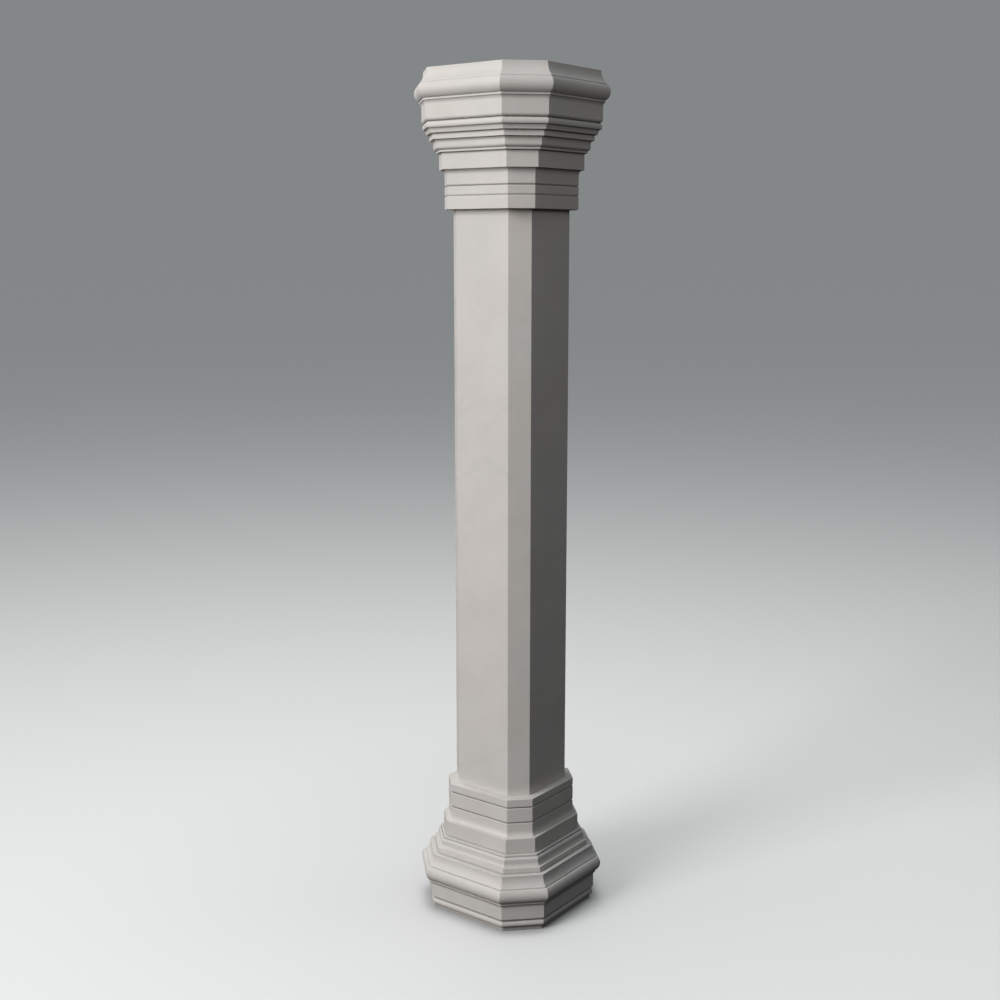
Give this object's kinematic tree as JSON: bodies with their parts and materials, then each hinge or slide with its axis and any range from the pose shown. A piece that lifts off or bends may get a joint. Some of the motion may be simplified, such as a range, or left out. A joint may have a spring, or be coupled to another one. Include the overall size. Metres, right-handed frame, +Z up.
{
  "type": "marble column",
  "caption": "Marble column: a plain shaft on a cut-cornered square plan between a moulded base and a moulded capital, flat above and below.",
  "frame": {"origin": "middle of the base's underside, on the floor", "axes": "+Z up along the shaft's axis, +X and +Y square to the shaft's main faces"},
  "size_m": [0.5272, 0.5272, 2.7],
  "materials": {
    "marble": "honed, pale warm grey with faint clouding"
  },
  "bodies": {
    "root": {"base": "marble", "shaft": "marble", "capital": "marble"}
  },
  "joints": []
}
